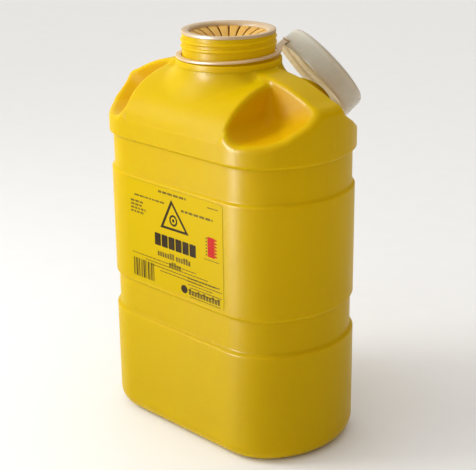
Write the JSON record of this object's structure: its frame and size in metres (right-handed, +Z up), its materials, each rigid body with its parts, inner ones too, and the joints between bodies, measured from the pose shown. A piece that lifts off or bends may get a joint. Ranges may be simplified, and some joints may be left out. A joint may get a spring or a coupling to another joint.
{
  "type": "sharps container",
  "caption": "Tall oval sharps container with carrying ridges over finger scoops, a threaded neck with a flexible fingered insert, and a screw cap on a ring tether.",
  "frame": {"origin": "centre of the base, on the surface it stands on", "axes": "+Z up through the neck, +X along the body's long side, -Y towards the labelled front"},
  "size_m": [0.2276, 0.1738, 0.3432],
  "materials": {
    "yellow_body": "blow-moulded polyethylene, satin, faint waxy gloss",
    "label_film": "printed film, smooth, slightly glossier than the body",
    "natural_plastic": "uncoloured soft polyethylene, milky and slightly see-through",
    "cap_plastic": "uncoloured soft polyethylene, milky and slightly see-through, satin",
    "liner_foam": "fine closed-cell foam, dull"
  },
  "bodies": {
    "container": {"container_body": "yellow_body", "front_label": "label_film", "neck_insert": "natural_plastic"},
    "finger_01": {"insert_finger_01": "natural_plastic"},
    "finger_02": {"insert_finger_02": "natural_plastic"},
    "finger_03": {"insert_finger_03": "natural_plastic"},
    "finger_04": {"insert_finger_04": "natural_plastic"},
    "finger_05": {"insert_finger_05": "natural_plastic"},
    "finger_06": {"insert_finger_06": "natural_plastic"},
    "finger_07": {"insert_finger_07": "natural_plastic"},
    "finger_08": {"insert_finger_08": "natural_plastic"},
    "finger_09": {"insert_finger_09": "natural_plastic"},
    "finger_10": {"insert_finger_10": "natural_plastic"},
    "finger_11": {"insert_finger_11": "natural_plastic"},
    "finger_12": {"insert_finger_12": "natural_plastic"},
    "finger_13": {"insert_finger_13": "natural_plastic"},
    "finger_14": {"insert_finger_14": "natural_plastic"},
    "finger_15": {"insert_finger_15": "natural_plastic"},
    "finger_16": {"insert_finger_16": "natural_plastic"},
    "finger_17": {"insert_finger_17": "natural_plastic"},
    "finger_18": {"insert_finger_18": "natural_plastic"},
    "finger_19": {"insert_finger_19": "natural_plastic"},
    "finger_20": {"insert_finger_20": "natural_plastic"},
    "ring": {"tether_ring": "natural_plastic"},
    "strap": {"tether_strap": "natural_plastic"},
    "cap": {"cap_shell": "cap_plastic", "cap_liner": "liner_foam"}
  },
  "joints": [
    {"name": "finger_flex_01", "type": "hinge", "parent": "container", "child": "finger_01", "pos_m": [0.0309, 0, 0.3392], "axis": [0, -1, 0], "range_deg": [-10, 55], "stiffness_Nm_per_rad": 0.02},
    {"name": "finger_flex_02", "type": "hinge", "parent": "container", "child": "finger_02", "pos_m": [0.02939, 0.00955, 0.3392], "axis": [0.309, -0.9511, 0], "range_deg": [-10, 55], "stiffness_Nm_per_rad": 0.02},
    {"name": "finger_flex_03", "type": "hinge", "parent": "container", "child": "finger_03", "pos_m": [0.025, 0.01816, 0.3392], "axis": [0.5878, -0.809, 0], "range_deg": [-10, 55], "stiffness_Nm_per_rad": 0.02},
    {"name": "finger_flex_04", "type": "hinge", "parent": "container", "child": "finger_04", "pos_m": [0.01816, 0.025, 0.3392], "axis": [0.809, -0.5878, 0], "range_deg": [-10, 55], "stiffness_Nm_per_rad": 0.02},
    {"name": "finger_flex_05", "type": "hinge", "parent": "container", "child": "finger_05", "pos_m": [0.00955, 0.02939, 0.3392], "axis": [0.9511, -0.309, 0], "range_deg": [-10, 55], "stiffness_Nm_per_rad": 0.02},
    {"name": "finger_flex_06", "type": "hinge", "parent": "container", "child": "finger_06", "pos_m": [0, 0.0309, 0.3392], "axis": [1, 0, 0], "range_deg": [-10, 55], "stiffness_Nm_per_rad": 0.02},
    {"name": "finger_flex_07", "type": "hinge", "parent": "container", "child": "finger_07", "pos_m": [-0.00955, 0.02939, 0.3392], "axis": [0.9511, 0.309, 0], "range_deg": [-10, 55], "stiffness_Nm_per_rad": 0.02},
    {"name": "finger_flex_08", "type": "hinge", "parent": "container", "child": "finger_08", "pos_m": [-0.01816, 0.025, 0.3392], "axis": [0.809, 0.5878, 0], "range_deg": [-10, 55], "stiffness_Nm_per_rad": 0.02},
    {"name": "finger_flex_09", "type": "hinge", "parent": "container", "child": "finger_09", "pos_m": [-0.025, 0.01816, 0.3392], "axis": [0.5878, 0.809, 0], "range_deg": [-10, 55], "stiffness_Nm_per_rad": 0.02},
    {"name": "finger_flex_10", "type": "hinge", "parent": "container", "child": "finger_10", "pos_m": [-0.02939, 0.00955, 0.3392], "axis": [0.309, 0.9511, 0], "range_deg": [-10, 55], "stiffness_Nm_per_rad": 0.02},
    {"name": "finger_flex_11", "type": "hinge", "parent": "container", "child": "finger_11", "pos_m": [-0.0309, 0, 0.3392], "axis": [0, 1, 0], "range_deg": [-10, 55], "stiffness_Nm_per_rad": 0.02},
    {"name": "finger_flex_12", "type": "hinge", "parent": "container", "child": "finger_12", "pos_m": [-0.02939, -0.00955, 0.3392], "axis": [-0.309, 0.9511, 0], "range_deg": [-10, 55], "stiffness_Nm_per_rad": 0.02},
    {"name": "finger_flex_13", "type": "hinge", "parent": "container", "child": "finger_13", "pos_m": [-0.025, -0.01816, 0.3392], "axis": [-0.5878, 0.809, 0], "range_deg": [-10, 55], "stiffness_Nm_per_rad": 0.02},
    {"name": "finger_flex_14", "type": "hinge", "parent": "container", "child": "finger_14", "pos_m": [-0.01816, -0.025, 0.3392], "axis": [-0.809, 0.5878, 0], "range_deg": [-10, 55], "stiffness_Nm_per_rad": 0.02},
    {"name": "finger_flex_15", "type": "hinge", "parent": "container", "child": "finger_15", "pos_m": [-0.00955, -0.02939, 0.3392], "axis": [-0.9511, 0.309, 0], "range_deg": [-10, 55], "stiffness_Nm_per_rad": 0.02},
    {"name": "finger_flex_16", "type": "hinge", "parent": "container", "child": "finger_16", "pos_m": [0, -0.0309, 0.3392], "axis": [-1, 0, 0], "range_deg": [-10, 55], "stiffness_Nm_per_rad": 0.02},
    {"name": "finger_flex_17", "type": "hinge", "parent": "container", "child": "finger_17", "pos_m": [0.00955, -0.02939, 0.3392], "axis": [-0.9511, -0.309, 0], "range_deg": [-10, 55], "stiffness_Nm_per_rad": 0.02},
    {"name": "finger_flex_18", "type": "hinge", "parent": "container", "child": "finger_18", "pos_m": [0.01816, -0.025, 0.3392], "axis": [-0.809, -0.5878, 0], "range_deg": [-10, 55], "stiffness_Nm_per_rad": 0.02},
    {"name": "finger_flex_19", "type": "hinge", "parent": "container", "child": "finger_19", "pos_m": [0.025, -0.01816, 0.3392], "axis": [-0.5878, -0.809, 0], "range_deg": [-10, 55], "stiffness_Nm_per_rad": 0.02},
    {"name": "finger_flex_20", "type": "hinge", "parent": "container", "child": "finger_20", "pos_m": [0.02939, -0.00955, 0.3392], "axis": [-0.309, -0.9511, 0], "range_deg": [-10, 55], "stiffness_Nm_per_rad": 0.02},
    {"name": "tether_spin", "type": "hinge", "parent": "container", "child": "ring", "pos_m": [0, 0, 0.3235], "axis": [0, 0, 1], "range_deg": [-4, 50]},
    {"name": "strap_flex_ring", "type": "hinge", "parent": "ring", "child": "strap", "pos_m": [0.02007, 0.03938, 0.3263], "axis": [0.891, -0.454, 0], "range_deg": [0, 40]},
    {"name": "strap_flex_cap", "type": "hinge", "parent": "strap", "child": "cap", "pos_m": [0.02187, 0.04293, 0.32935], "axis": [0.891, -0.454, 0], "range_deg": [0, 20]}
  ]
}
